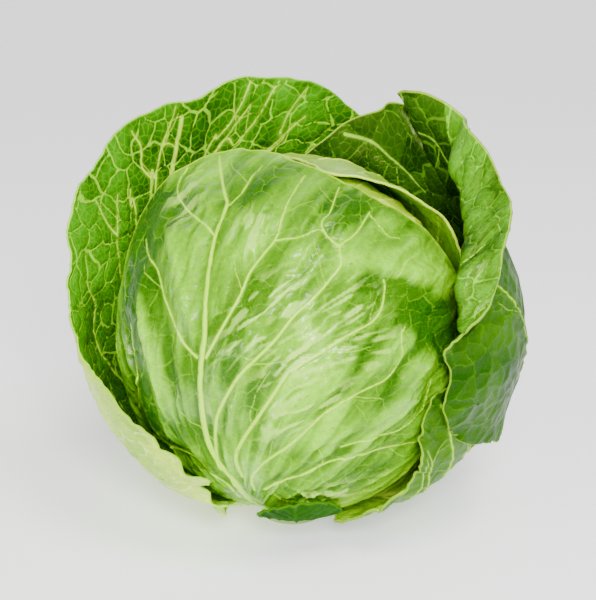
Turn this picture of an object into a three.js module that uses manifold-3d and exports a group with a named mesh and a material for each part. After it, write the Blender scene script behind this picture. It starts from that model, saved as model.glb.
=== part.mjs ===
// Cabbage head: a dense heart on its cut stem, the leaves wrapped round it and
// the loose outer leaves.
//
// Millimetres, +Z up. The origin is the middle of the stem's flat cut face,
// where the head rests on the ground; -Y is the front, +X the right.
//
// Every leaf is a thin blade laid round a ball. A leaf has a middle direction
// (its face: longitude and latitude seen from the ball's centre, and a roll),
// and reaches from there by an angle that depends on the bearing: bearing 0
// runs down to the stem, 90 to the right, 180 to the tip, 270 to the left.
// `lift` is how far its margin stands off the ball at those same bearings,
// `fold` the angle by which its margin is folded back outward, from the share
// `foldFrom` of the way out, and `wave` the swell of its margin.
import * as THREE from 'three';
import { mergeVertices } from 'three/addons/utils/BufferGeometryUtils.js';
import Module from 'manifold-3d';

const DEG = Math.PI / 180;
const HEAD_Z = 95;          // centre of the head above the cut face
const HEART_R = 76.4;       // dense heart, under its own wrapped leaves
const STEM_R = 15.5;        // stem where the leaves leave it
const STEM_CUT_R = 13.6;    // flat cut face
const STEM_TOP = 34;        // the stem runs up into the heart
const BLADE = 1.1;          // thickness of a leaf
const SUNK = 4;             // the heart's own leaves are sunk this deep into it
const FOLD_ARC = 9;         // length of blade in the bend of a folded margin
const RIB_HALF = 3;         // half width of a midrib at the tip
const RIB_SPREAD = 9;       // and how much wider it is at the stem
const RIB_TAPER = 1.6;      // how soon a midrib's height dies away from the stem
const RIB_CROWDING = 1.35;  // the grid's lines crowd together beside the midrib
const SMALLEST_FOLD = 1e-4; // radians, so that a flat margin can be worked out as a fold

const centre = new THREE.Vector3(0, 0, HEAD_Z);

// smooth closed curve through evenly spaced values round the bearings
function around(values, phi) {
  const n = values.length;
  const turns = phi / (2 * Math.PI);
  const u = (turns - Math.floor(turns)) * n;
  const i = Math.floor(u);
  const f = u - i;
  const [p0, p1, p2, p3] = [-1, 0, 1, 2].map((k) => values[(i + k + n) % n]);
  return p1 + 0.5 * f * (p2 - p0 + f * (2 * p0 - 5 * p1 + 4 * p2 - p3 + f * (3 * (p1 - p2) + p3 - p0)));
}

// the leaf's middle direction, and the directions of bearings 0 and 90 there
function axes([lonD, latD, rollD]) {
  const [lon, lat, roll] = [lonD * DEG, latD * DEG, rollD * DEG];
  const out = new THREE.Vector3(Math.sin(lon) * Math.cos(lat), -Math.cos(lon) * Math.cos(lat), Math.sin(lat));
  const down = new THREE.Vector3(Math.sin(lon) * Math.sin(lat), -Math.cos(lon) * Math.sin(lat), -Math.cos(lat));
  const east = new THREE.Vector3(Math.cos(lon), Math.sin(lon), 0);
  const d = down.clone().multiplyScalar(Math.cos(roll)).addScaledVector(east, Math.sin(roll));
  const e = down.clone().multiplyScalar(-Math.sin(roll)).addScaledVector(east, Math.cos(roll));
  return { out, d, e };
}

// two trains of waves round the margin, one twice as fine as the other
function waves({ count, phase }, phi, shift) {
  return [
    Math.sin(count * phi + phase + shift),
    0.5 * Math.sin((2 * count + 1) * phi + (shift ? 1 : 2.1) * phase),
  ];
}

// a point of the leaf's outer face; x is 0 at the leaf's middle and 1 at its margin
function leafPoint(leaf, x, phi) {
  const { out, d, e } = axes(leaf.face);
  let reach = around(leaf.reach, phi) * DEG;
  let r = leaf.radius + around(leaf.lift, phi) * x ** leaf.power + (leaf.puff ?? 0) * (1 - x * x) ** 2;
  if (leaf.wave) {
    const [long, short] = waves(leaf.wave, phi, 0);
    const [swell, ripple] = waves(leaf.wave, phi, 0.7);
    reach *= 1 + leaf.wave.along * x * x * (long + short);
    r += leaf.wave.out * (x ** 4 * swell + x ** 5 * ripple);
  }
  const rho = x * reach;
  const side = d.clone().multiplyScalar(Math.cos(phi)).addScaledVector(e, Math.sin(phi));
  const away = out.clone().multiplyScalar(Math.cos(rho)).addScaledVector(side, Math.sin(rho));
  const p = away.clone().multiplyScalar(r);
  if (leaf.fold) {
    const angle = Math.max(SMALLEST_FOLD, around(leaf.fold, phi) * DEG);
    const k = angle / FOLD_ARC;
    const s = Math.max(0, x - around(leaf.foldFrom, phi)) * reach * leaf.radius;
    const bent = Math.min(s, FOLD_ARC);
    const straight = s - bent;
    const on = out.clone().multiplyScalar(-Math.sin(rho)).addScaledVector(side, Math.cos(rho));
    p.addScaledVector(on, Math.sin(k * bent) / k + straight * Math.cos(angle) - s);
    p.addScaledVector(away, (1 - Math.cos(k * bent)) / k + straight * Math.sin(angle));
  }
  return p.add(centre).add(new THREE.Vector3(...(leaf.cup ?? [0, 0, 0])));
}

// height of the midrib on the outer face: tall and wide by the stem
function ribHeight(leaf, x, phi) {
  const toBase = (x * Math.cos(phi) + 1) / 2;
  const off = Math.abs(x * Math.sin(phi)) * around(leaf.reach, phi) * DEG * leaf.radius;
  const half = RIB_HALF + RIB_SPREAD * toBase ** 2;
  return off < half ? leaf.rib * toBase ** RIB_TAPER * (1 - (off / half) ** 2) ** 2 : 0;
}

// a point of the square grid laid on the disc: its share of the way out and its bearing
function onDisc(a, t) {
  const b = Math.sign(t) * Math.abs(t) ** RIB_CROWDING;
  if (a === 0 && b === 0) return { x: 0, phi: 0 };
  const wide = Math.abs(a) > Math.abs(b);
  const r = wide ? a : b;
  const turn = wide ? (Math.PI / 4) * (b / a) : Math.PI / 2 - (Math.PI / 4) * (a / b);
  return { x: Math.min(1, Math.abs(r)), phi: r < 0 ? turn + Math.PI : turn };
}

// the closed blade: outer face with its midrib, inner face, and the margin between them
function blade(leaf) {
  const n = leaf.cells;
  const m = n + 1;
  const grid = [];
  for (let i = 0; i < m; i++) {
    for (let j = 0; j < m; j++) {
      const { x, phi } = onDisc(-1 + (2 * i) / n, -1 + (2 * j) / n);
      grid.push({ x, phi, p: leafPoint(leaf, x, phi) });
    }
  }
  const at = (i, j) => grid[Math.min(n, Math.max(0, i)) * m + Math.min(n, Math.max(0, j))].p;
  const outer = [];
  const inner = [];
  for (let i = 0; i < m; i++) {
    for (let j = 0; j < m; j++) {
      const { x, phi, p } = grid[i * m + j];
      const du = at(i + 1, j).clone().sub(at(i - 1, j));
      const dv = at(i, j + 1).clone().sub(at(i, j - 1));
      const normal = du.cross(dv).normalize();
      outer.push(p.clone().addScaledVector(normal, ribHeight(leaf, x, phi)));
      inner.push(p.clone().addScaledVector(normal, -(leaf.thick ?? BLADE)));
    }
  }
  const N = m * m;
  const index = [];
  const quad = (a, b, c, d) => {   // the same diagonal on both faces, the shorter one
    if (outer[a].distanceTo(outer[c]) <= outer[b].distanceTo(outer[d])) {
      index.push(a, b, c, a, c, d, N + a, N + c, N + b, N + a, N + d, N + c);
    } else {
      index.push(a, b, d, b, c, d, N + a, N + d, N + b, N + b, N + d, N + c);
    }
  };
  for (let i = 0; i < n; i++) {
    for (let j = 0; j < n; j++) quad(i * m + j, (i + 1) * m + j, (i + 1) * m + j + 1, i * m + j + 1);
  }
  const rim = [];
  for (let i = 0; i < n; i++) rim.push(i * m);
  for (let j = 0; j < n; j++) rim.push(n * m + j);
  for (let i = n; i > 0; i--) rim.push(i * m + n);
  for (let j = n; j > 0; j--) rim.push(j);
  rim.forEach((a, k) => {
    const b = rim[(k + 1) % rim.length];
    index.push(a, N + a, N + b, a, N + b, b);
  });
  const geometry = new THREE.BufferGeometry();
  const positions = [...outer, ...inner].flatMap((v) => v.toArray());
  geometry.setAttribute('position', new THREE.Float32BufferAttribute(positions, 3));
  geometry.setIndex(index);
  geometry.computeVertexNormals();
  return geometry;
}

// the stem: cut flat across, swelling a little where the leaves leave it
function stemGeometry() {
  const profile = [
    [0, 0], [STEM_CUT_R, 0], [STEM_CUT_R + 0.9, 0.9], [STEM_R - 0.3, 4],
    [STEM_R, 9], [STEM_R - 0.2, 16], [STEM_R - 1, STEM_TOP], [0, STEM_TOP],
  ].map(([r, z]) => new THREE.Vector2(r, z));
  const geometry = new THREE.LatheGeometry(profile, 28);
  geometry.rotateX(Math.PI / 2);
  return geometry;
}

function coreGeometry() {
  const geometry = new THREE.SphereGeometry(HEART_R, 32, 20);
  geometry.rotateX(Math.PI / 2);
  geometry.translate(0, 0, HEAD_Z);
  return geometry;
}

const wasm = await Module();
wasm.setup();

function solidOf(geometry) {
  const bare = geometry.clone();
  bare.deleteAttribute('normal');
  bare.deleteAttribute('uv');
  const merged = mergeVertices(bare, 1e-3);
  return new wasm.Manifold(new wasm.Mesh({
    numProp: 3,
    vertProperties: merged.attributes.position.array,
    triVerts: new Uint32Array(merged.index.array),
  }));
}

function geometryOf(solid) {
  const mesh = solid.getMesh();
  const xyz = [];
  for (let i = 0; i < mesh.numVert; i++) {
    for (let k = 0; k < 3; k++) xyz.push(mesh.vertProperties[i * mesh.numProp + k]);
  }
  const geometry = new THREE.BufferGeometry();
  geometry.setAttribute('position', new THREE.Float32BufferAttribute(xyz, 3));
  geometry.setIndex(Array.from(mesh.triVerts));
  geometry.computeVertexNormals();
  return geometry;
}

// the heart's own leaves: sunk into the core, their edges stand out of it
const WRAPPED = [
  {
    cells: 12, thick: SUNK, rib: 0.8, face: [140, 18, 0], radius: 79.2, power: 3,
    reach: [90, 90, 90, 88, 88, 86, 86, 90, 92, 92, 92, 90],
    lift: [0],
  },
  {
    cells: 12, thick: SUNK, rib: 0.8, face: [-108, 22, 0], radius: 77.9, power: 3,
    reach: [90, 90, 88, 82, 80, 80, 80, 84, 86, 88, 90, 90],
    lift: [0],
  },
];

// degrees and millimetres, at even steps of the bearing
const LEAVES = [
  {
    name: 'leaf_front', colour: '#a6cf5a',
    cells: 18, rib: 2.2, face: [-31, 0, 9], radius: 81.5, power: 4,
    reach: [77, 79, 84, 90, 90, 99, 110, 114, 106, 94, 89, 90, 91, 89, 79, 70, 66, 70, 76, 82, 84, 84, 83, 79],
    lift: [4, 4, 4, 3, 1, 0, 0, 0, 0, 0, 0, 0, 4, 9, 11, 6, 2, 0, 0, 2, 7, 12, 8, 5],
  },
  {
    name: 'leaf_right', colour: '#9cc56a',
    cells: 16, rib: 1.6, face: [128, 10, 0], radius: 84, power: 3,
    reach: [87, 85, 80, 76, 76, 80, 84, 86, 86, 84, 80, 77, 75, 76, 58, 43, 46, 52, 58, 60, 60, 64, 72, 82],
    lift: [0, 0, 0, 0, 0, 0, 0, 0, 0, 0, 0, 0, 0, 1, 5, 7, 7, 5, 2, 1, 0, 0, 0, 0],
  },
  {
    name: 'leaf_low_front', colour: '#5d9432',
    cells: 8, rib: 1, face: [4, -64, 0], radius: 89.4, power: 3,
    reach: [13.5, 13, 11, 12, 15, 18.5, 19, 16.5, 14, 12.5, 12, 13],
    lift: [0],
  },
  {
    name: 'outer_low_right', colour: '#8fbf52',
    cells: 14, rib: 1.8, face: [80, -38, 0], cup: [6, 0, -2], radius: 87, power: 3, puff: 8,
    reach: [41, 44, 48, 56, 58, 46, 30, 36, 41, 29, 34, 41],
    lift: [-1, -1, 0, 0, -1, -4, -6, -7, -5, 2, 6, 3],
    wave: { count: 11, along: 0.03, out: 0.9, phase: 0.9 },
  },
  {
    name: 'outer_right', colour: '#4f8f3a',
    cells: 26, rib: 2.4, face: [120, 8, 0], cup: [21, 8, -2], radius: 90, power: 3, puff: 3,
    reach: [
      100, 96, 90, 86, 86, 86, 86, 86, 82, 76, 59, 53,
      46, 59, 67.5, 76, 86, 86, 83.5, 84.5, 77.5, 59, 50, 76,
    ],
    lift: [-4, -4, -4, -3, -3, -3, -3, -3, 0, 6, 26, 33, 26, 10, 3, 0, -3, -6, -7, -5, -3, 3, 6, -2],
    fold: [
      0, 0, 0, 0, 0, 0, 0, 0, 0, 0, 0, 0, 0, 0, 0, 0, 4, 20,
      50, 78, 103, 125, 140, 149, 155, 165, 50, 0, 0, 0, 0, 0, 0, 0, 0, 0,
    ],
    foldFrom: [
      1, 1, 1, 1, 1, 1, 1, 1, 1, 1, 1, 1, 1, 0.97, 0.93, 0.9, 0.87, 0.84,
      0.82, 0.805, 0.79, 0.78, 0.78, 0.785, 0.81, 0.85, 0.9, 1, 1, 1, 1, 1, 1, 1, 1, 1,
    ],
    wave: { count: 9, along: 0.015, out: 1.2, phase: 1.3 },
  },
  {
    name: 'outer_left', colour: '#3f8434',
    cells: 20, rib: 2.2, face: [-140, 8, 0], cup: [-14, 12, -2], radius: 88, power: 3,
    reach: [
      96, 104, 115, 116, 118, 98, 56, 48, 45.5, 44, 45, 47,
      51, 57, 65, 73.5, 78, 72, 66, 64, 66, 74, 84, 92,
    ],
    lift: [0, 2, 3, 3, 4, 1, 6, 12, 18, 25, 29, 31, 31.5, 37, 39, 39, 30, 20, 14, 12, 10, 6, 3, 0],
    wave: { count: 9, along: 0.015, out: 1.2, phase: 0.3 },
  },
];

const cabbage = new THREE.Group();

function add(name, geometry, colour, roughness) {
  const material = new THREE.MeshStandardMaterial({ color: colour, roughness, metalness: 0 });
  const mesh = new THREE.Mesh(geometry, material);
  mesh.name = name;
  cabbage.add(mesh);
}

let heart = solidOf(coreGeometry()).add(solidOf(stemGeometry()));
for (const leaf of WRAPPED) heart = heart.add(solidOf(blade(leaf)));
add('heart', geometryOf(heart), '#cfe09a', 0.55);
for (const leaf of LEAVES) add(leaf.name, blade(leaf), leaf.colour, 0.45);

export default cabbage;
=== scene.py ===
"""Cabbage head: fine leaves, veins, colours, light and camera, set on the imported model.

Lengths are in millimetres until a mesh is made, in the model's own frame: +Z up, the origin
in the middle of the stem's cut face, -Y the front. A leaf is laid round a ball, as in the
part's source. On a leaf, a place is (s, t): millimetres along the blade from the leaf's
middle, s towards the tip and t across it.
"""
import math

import bpy
import numpy as np
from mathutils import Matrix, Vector
from mathutils.kdtree import KDTree


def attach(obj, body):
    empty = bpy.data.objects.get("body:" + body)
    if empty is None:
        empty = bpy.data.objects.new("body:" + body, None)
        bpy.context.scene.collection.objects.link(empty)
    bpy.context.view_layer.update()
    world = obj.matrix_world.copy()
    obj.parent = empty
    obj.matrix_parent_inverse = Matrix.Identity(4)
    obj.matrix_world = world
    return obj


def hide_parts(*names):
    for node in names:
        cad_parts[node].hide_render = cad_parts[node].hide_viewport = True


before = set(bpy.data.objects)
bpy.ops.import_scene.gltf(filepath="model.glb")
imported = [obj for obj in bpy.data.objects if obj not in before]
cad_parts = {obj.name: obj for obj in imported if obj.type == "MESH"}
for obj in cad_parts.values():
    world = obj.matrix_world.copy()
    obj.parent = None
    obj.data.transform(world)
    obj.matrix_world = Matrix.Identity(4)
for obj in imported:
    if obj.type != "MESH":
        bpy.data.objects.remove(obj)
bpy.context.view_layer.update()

MM = 0.001
HEAD = np.array([0.0, 0.0, 95.0])      # centre of the head
HEART_R = 76.4
STEM_R = 15.5
STEM_CUT_R = 13.6
BLADE = 1.1             # thickness of a leaf
SUNK = 4.0              # the heart's own leaves are this deep in it
FOLD_ARC = 9.0          # length of blade in the bend of a folded margin
SCALLOP = 0.011         # share of a leaf's reach by which its margin waves in and out
SCALLOPS = (46, 104)    # how many broad and fine waves of that kind go round a leaf
VEIN_STEP = 0.6         # between the points of a vein's centreline
INSIDE = 0.985          # share of the way to the margin that veins and moved points stay within
FAR = 1e6               # more than any distance here

# the picture: 596 x 600 points, one point is PIXEL mm at the head's middle
PICTURE = (596, 600)
PIXEL = 0.479
AIM_OFF = (6, 31)       # the picture's middle, right of the head's middle and above it
ELEVATION = math.radians(18)
DISTANCE = 1000.0
SENSOR = 36.0
VIEW = np.array([0, math.cos(ELEVATION), -math.sin(ELEVATION)])
UP = np.array([0, math.sin(ELEVATION), math.cos(ELEVATION)])
AIM = HEAD + np.array([AIM_OFF[0] * PIXEL, 0, 0]) + UP * AIM_OFF[1] * PIXEL
EYE = AIM - VIEW * DISTANCE


# ---- noise

PERIOD = 256
LATTICE = np.random.default_rng(11).uniform(-1, 1, (PERIOD, PERIOD))


def lattice(i, j):
    """The number from -1 to 1 that was drawn for a whole-numbered place."""
    return LATTICE[i % PERIOD, j % PERIOD]


def fade(f):
    return f * f * f * (f * (f * 6 - 15) + 10)


def noise(u, v, seed=0):
    """Smooth seeded noise from -1 to 1, one bump a unit."""
    u, v = u + 17.3 * seed, v + 41.7 * seed
    i, j = np.floor(u).astype(int), np.floor(v).astype(int)
    f, g = fade(u - i), fade(v - j)
    low = lattice(i, j) * (1 - f) + lattice(i + 1, j) * f
    high = lattice(i, j + 1) * (1 - f) + lattice(i + 1, j + 1) * f
    return low * (1 - g) + high * g


def rough(u, v, seed):
    """Noise with finer and weaker noise laid on it twice."""
    return sum(noise(u * 2 ** k, v * 2 ** k, seed + k) * 0.5 ** k for k in range(3))


def ring_noise(phi, bumps, seed):
    """Smooth noise round a leaf's margin, about so many bumps in all, without a seam."""
    r = bumps / (2 * np.pi)
    middle = 60
    return noise(r * np.cos(phi) + middle, r * np.sin(phi) + middle, seed)


def smooth(low, high, value):
    """0 up to low, 1 from high on, and a smooth step between them."""
    f = np.clip((value - low) / (high - low), 0, 1)
    return f * f * (3 - 2 * f)


# ---- leaves

def cubic(p0, p1, p2, p3, f):
    """Smooth curve through four points, at the share f of the way from the second to the third."""
    return p1 + 0.5 * f * (p2 - p0 + f * (2 * p0 - 5 * p1 + 4 * p2 - p3 + f * (3 * (p1 - p2) + p3 - p0)))


def around(values, phi):
    """Smooth closed curve through evenly spaced values round the bearings."""
    v = np.asarray(values, float)
    n = len(v)
    u = (phi / (2 * np.pi)) % 1 * n
    i = np.floor(u).astype(int)
    return cubic(v[(i - 1) % n], v[i % n], v[(i + 1) % n], v[(i + 2) % n], u - i)


def unit(v):
    return v / np.maximum(np.linalg.norm(v, axis=-1, keepdims=True), 1e-9)


STILL = dict(count=1, along=0, out=0, phase=0)      # a margin without waves


class Leaf:
    """One leaf's form: the same names and numbers as in the part's source.

    Lists go by the bearing round the leaf's middle, in even steps from its base. `face` is the
    longitude, latitude and roll of its middle, `reach` how far round the ball its margin is, all
    in degrees, and `lift` how far off the ball the margin stands. `fold` is how many degrees the
    margin is bent back, from the share `fold_from` of the way out. `ruffle` is how high the small
    waves of the margin stand, and `nicks` are tears in it: bearing, half width, share of the reach.
    """

    def __init__(self, name, face, radius, power, reach, lift=(0,), cup=(0, 0, 0), puff=0, wave=STILL,
                 fold=None, fold_from=None, thick=BLADE, ruffle=(1,), nicks=()):
        self.name, self.radius, self.power, self.puff = name, radius, power, puff
        self.reach, self.lift, self.wave, self.thick = reach, lift, wave, thick
        self.fold, self.fold_from, self.ruffle, self.nicks = fold, fold_from, ruffle, nicks
        self.middle = HEAD + np.array(cup, float)
        lon, lat, roll = (math.radians(a) for a in face)
        self.out = np.array([math.sin(lon) * math.cos(lat), -math.cos(lon) * math.cos(lat), math.sin(lat)])
        down = np.array([math.sin(lon) * math.sin(lat), -math.cos(lon) * math.sin(lat), -math.cos(lat)])
        east = np.array([math.cos(lon), math.sin(lon), 0])
        self.down = down * math.cos(roll) + east * math.sin(roll)
        self.east = -down * math.sin(roll) + east * math.cos(roll)

    def waves(self, phi):
        """Swell of the margin: along the blade, and the long and short waves out of it."""
        w = self.wave
        n, a = w["count"], w["phase"]
        edge = np.sin(n * phi + a) + 0.5 * np.sin((2 * n + 1) * phi + 2.1 * a)
        swell = w["out"] * np.sin(n * phi + a + 0.7)
        return w["along"] * edge, swell, w["out"] * 0.5 * np.sin((2 * n + 1) * phi + a)

    def margin_turn(self, phi):
        """Angle from the leaf's middle to its margin, before the waves."""
        reach = np.radians(around(self.reach, phi))
        for bearing, half, share in self.nicks:
            off = np.degrees(phi % (2 * np.pi)) - bearing
            reach = reach * (1 - share * np.exp(-(off / half) ** 2))
        scallop = ring_noise(phi, SCALLOPS[0], 90) + 0.7 * ring_noise(phi, SCALLOPS[1], 91)
        return reach * (1 + SCALLOP * around(self.ruffle, phi) * scallop)

    def turn(self, x, phi):
        """Angle from the leaf's middle to the share x of the way to its margin."""
        return x * self.margin_turn(phi) * (1 + self.waves(phi)[0] * x * x)

    def place(self, x, phi):
        """(s, t) at the share x of the way to the margin, at a bearing."""
        rho = self.turn(x, phi)
        return -rho * np.cos(phi) * self.radius, rho * np.sin(phi) * self.radius

    def share(self, s, t):
        """The inverse of place."""
        phi = np.arctan2(t, -s)
        rho = np.hypot(s, t) / self.radius
        reach = self.margin_turn(phi)
        edge = self.waves(phi)[0]
        x = rho / reach
        for _ in range(4):
            x = rho / (reach * (1 + edge * np.minimum(x, 1.1) ** 2))
        return x, phi

    def points(self, s, t):
        """Points in space on the smooth outer face."""
        x, phi = self.share(s, t)
        rho = self.turn(x, phi)[:, None]
        side = np.cos(phi)[:, None] * self.down + np.sin(phi)[:, None] * self.east
        away = np.cos(rho) * self.out + np.sin(rho) * side
        edge, swell, ripple = self.waves(phi)
        r = self.radius + around(self.lift, phi) * x ** self.power
        r += self.puff * np.maximum(0, 1 - x * x) ** 2 + x ** 4 * swell + x ** 5 * ripple
        p = away * r[:, None]
        if self.fold:
            angle = np.maximum(1e-4, np.radians(around(self.fold, phi)))
            k = angle / FOLD_ARC
            past = np.maximum(0, x - around(self.fold_from, phi))
            run = past * self.margin_turn(phi) * (1 + edge * x * x) * self.radius
            bent = np.minimum(run, FOLD_ARC)
            straight = run - bent
            on = -np.sin(rho) * self.out + np.cos(rho) * side
            p = p + on * (np.sin(k * bent) / k + straight * np.cos(angle) - run)[:, None]
            p = p + away * ((1 - np.cos(k * bent)) / k + straight * np.sin(angle))[:, None]
        return p + self.middle

    def normals(self, s, t):
        """Directions square to the blade, out of the head."""
        d = 0.4
        ds = self.points(s + d, t) - self.points(s - d, t)
        dt = self.points(s, t + d) - self.points(s, t - d)
        return unit(np.cross(dt, ds))


WRAPPED_BACK = Leaf(
    "heart_leaf_back", face=(140, 18, 0), radius=79.2, power=3, thick=SUNK, ruffle=[0.2],
    reach=[90, 90, 90, 88, 88, 86, 86, 90, 92, 92, 92, 90])
WRAPPED_LEFT = Leaf(
    "heart_leaf_left", face=(-108, 22, 0), radius=77.9, power=3, thick=SUNK, ruffle=[0.2],
    reach=[90, 90, 88, 82, 80, 80, 80, 84, 86, 88, 90, 90])
FRONT = Leaf(
    "leaf_front", face=(-31, 0, 9), radius=81.5, power=4,
    reach=[77, 79, 84, 90, 90, 99, 110, 114, 106, 94, 89, 90,
           91, 89, 79, 70, 66, 70, 76, 82, 84, 84, 83, 79],
    lift=[4, 4, 4, 3, 1, 0, 0, 0, 0, 0, 0, 0, 4, 9, 11, 6, 2, 0, 0, 2, 7, 12, 8, 5])
RIGHT = Leaf(
    "leaf_right", face=(128, 10, 0), radius=84, power=3, ruffle=[0.3],
    reach=[87, 85, 80, 76, 76, 80, 84, 86, 86, 84, 80, 77,
           75, 76, 58, 43, 46, 52, 58, 60, 60, 64, 72, 82],
    lift=[0] * 13 + [1, 5, 7, 7, 5, 2, 1] + [0] * 4)
LOW_FRONT = Leaf(
    "leaf_low_front", face=(4, -64, 0), radius=89.4, power=3, ruffle=[0.5],
    reach=[13.5, 13, 11, 12, 15, 18.5, 19, 16.5, 14, 12.5, 12, 13])
LOW_RIGHT = Leaf(
    "outer_low_right", face=(80, -38, 0), cup=(6, 0, -2), radius=87, power=3, puff=8,
    reach=[41, 44, 48, 56, 58, 46, 30, 36, 41, 29, 34, 41],
    lift=[-1, -1, 0, 0, -1, -4, -6, -7, -5, 2, 6, 3],
    wave=dict(count=11, along=0.03, out=0.9, phase=0.9), ruffle=[1.2])
OUTER_RIGHT = Leaf(
    "outer_right", face=(120, 8, 0), cup=(21, 8, -2), radius=90, power=3, puff=3,
    reach=[100, 96, 90, 86, 86, 86, 86, 86, 82, 76, 59, 53,
           46, 59, 67.5, 76, 86, 86, 83.5, 84.5, 77.5, 59, 50, 76],
    lift=[-4, -4, -4, -3, -3, -3, -3, -3, 0, 6, 26, 33, 26, 10, 3, 0, -3, -6, -7, -5, -3, 3, 6, -2],
    fold=[0] * 16 + [4, 20, 50, 78, 103, 125, 140, 149, 155, 165, 50] + [0] * 9,
    fold_from=[1] * 13 + [0.97, 0.93, 0.9, 0.87, 0.84, 0.82, 0.805, 0.79, 0.78, 0.78, 0.785,
                          0.81, 0.85, 0.9] + [1] * 9,
    wave=dict(count=9, along=0.015, out=1.2, phase=1.3),
    ruffle=[0.7, 0.7, 0.7, 0.7, 0.7, 0.6, 0.6, 0.6, 0.6, 1.0, 1.3, 1.0],
    nicks=[(151, 4.0, 0.05), (156.5, 1.4, 0.12), (259, 1.8, 0.05)])
OUTER_LEFT = Leaf(
    "outer_left", face=(-140, 8, 0), cup=(-14, 12, -2), radius=88, power=3,
    reach=[96, 104, 115, 116, 118, 98, 56, 48, 45.5, 44, 45, 47,
           51, 57, 65, 73.5, 78, 72, 66, 64, 66, 74, 84, 92],
    lift=[0, 2, 3, 3, 4, 1, 6, 12, 18, 25, 29, 31, 31.5, 37, 39, 39, 30, 20, 14, 12, 10, 6, 3, 0],
    wave=dict(count=9, along=0.015, out=1.2, phase=0.3),
    ruffle=[1.6, 3.0, 3.0, 1.4, 0.6, 0.6, 0.6, 0.6, 0.7, 0.8, 0.8, 0.8])


# ---- picture points on a leaf

def seen_at(p):
    """Picture points of points in space."""
    d = p - EYE
    depth = d @ VIEW
    scale = DISTANCE / PIXEL / depth
    return np.stack([PICTURE[0] / 2 + d[:, 0] * scale, PICTURE[1] / 2 - (d @ UP) * scale], 1)


def disc(cells):
    """Even square grid laid on a disc: its share of the way out, and its bearing."""
    a, b = np.meshgrid(np.linspace(-1, 1, cells + 1), np.linspace(-1, 1, cells + 1), indexing="ij")
    wide = np.abs(a) > np.abs(b)
    with np.errstate(divide="ignore", invalid="ignore"):
        turn = np.where(wide, np.pi / 4 * b / a, np.pi / 2 - np.pi / 4 * a / b)
    turn = np.where((a == 0) & (b == 0), 0, turn)
    r = np.where(wide, a, b)
    X, Y = r * np.cos(turn), r * np.sin(turn)
    return np.minimum(1, np.hypot(X, Y)).ravel(), np.arctan2(Y, X).ravel()


def on_leaf(leaf, pixels, inner):
    """Places on the leaf that show at these picture points, on its inner or outer face.

    Each starts at the nearest point of a coarse grid and is improved in steps by Newton's method.
    """
    want = np.array(pixels, float)
    s, t = leaf.place(*disc(80))
    p = leaf.points(s, t)
    away = np.einsum("ij,ij->i", p - EYE, leaf.normals(s, t)) > 0
    uv = seen_at(p)
    near = np.hypot(uv[:, None, 0] - want[None, :, 0], uv[:, None, 1] - want[None, :, 1])
    near[away != inner] = FAR
    pick = near.argmin(0)
    q = np.stack([s[pick], t[pick]], 1)
    h = 0.5
    longest_step = 6
    least_slope = 0.05
    for _ in range(12):
        here = seen_at(leaf.points(q[:, 0], q[:, 1]))
        js = (seen_at(leaf.points(q[:, 0] + h, q[:, 1])) - here) / h
        jt = (seen_at(leaf.points(q[:, 0], q[:, 1] + h)) - here) / h
        e = want - here
        det = js[:, 0] * jt[:, 1] - js[:, 1] * jt[:, 0]
        det = np.where(np.abs(det) < least_slope, least_slope * np.sign(det + 1e-9), det)
        step = np.stack([(e[:, 0] * jt[:, 1] - e[:, 1] * jt[:, 0]) / det,
                         (js[:, 0] * e[:, 1] - js[:, 1] * e[:, 0]) / det], 1)
        length = np.linalg.norm(step, axis=1, keepdims=True)
        q += step * np.minimum(1, longest_step / np.maximum(length, 1e-9))
        x, phi = leaf.share(q[:, 0], q[:, 1])
        q = np.stack(leaf.place(np.minimum(x, INSIDE), phi), 1)
    return q


# ---- veins

def path(points, step=VEIN_STEP):
    """A smooth curve through the points, in even steps."""
    p = np.array(points, float)
    p = np.vstack([2 * p[0] - p[1], p, 2 * p[-1] - p[-2]])
    f = np.linspace(0, 1, 24, endpoint=False)[:, None]
    rows = [cubic(*four, f) for four in zip(p, p[1:], p[2:], p[3:])]
    rows = np.vstack(rows + [p[-2:-1]])
    run = np.concatenate([[0], np.cumsum(np.linalg.norm(np.diff(rows, axis=0), axis=1))])
    at = np.linspace(0, run[-1], max(3, int(run[-1] / step)))
    return np.stack([np.interp(at, run, rows[:, 0]), np.interp(at, run, rows[:, 1])], 1)


class Veins:
    """One rank of a leaf's veins: centrelines with tangents and half widths, and a search tree."""

    def __init__(self):
        self.rows = []
        self.tree = None

    def add(self, line, start, end, power=1.0):
        """Adds a vein whose half width goes from start to end."""
        way = np.linspace(0, 1, len(line)) ** power
        tangent = unit(np.gradient(line, axis=0))
        half = start + (end - start) * way
        self.rows.append((line, tangent, half))
        self.tree = None

    def build(self):
        self.at = np.vstack([r[0] for r in self.rows])
        self.tangent = np.vstack([r[1] for r in self.rows])
        self.half = np.concatenate([r[2] for r in self.rows])
        self.tree = KDTree(len(self.at))
        for k, (a, b) in enumerate(self.at):
            self.tree.insert((a, b, 0), k)
        self.tree.balance()

    def near(self, s, t):
        """Distance to the nearest centreline, its half width, and the way to it."""
        if not self.rows:
            return np.full(len(s), FAR), np.full(len(s), 0.1), np.zeros((len(s), 2))
        if self.tree is None:
            self.build()
        k = np.fromiter((self.tree.find((a, b, 0))[1] for a, b in zip(s.tolist(), t.tolist())), int, len(s))
        to = self.at[k] - np.stack([s, t], 1)
        run = np.einsum("ij,ij->i", to, self.tangent[k])
        run = np.clip(run, -0.4, 0.4)
        to = to - run[:, None] * self.tangent[k]
        return np.linalg.norm(to, axis=1), self.half[k], to


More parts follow.
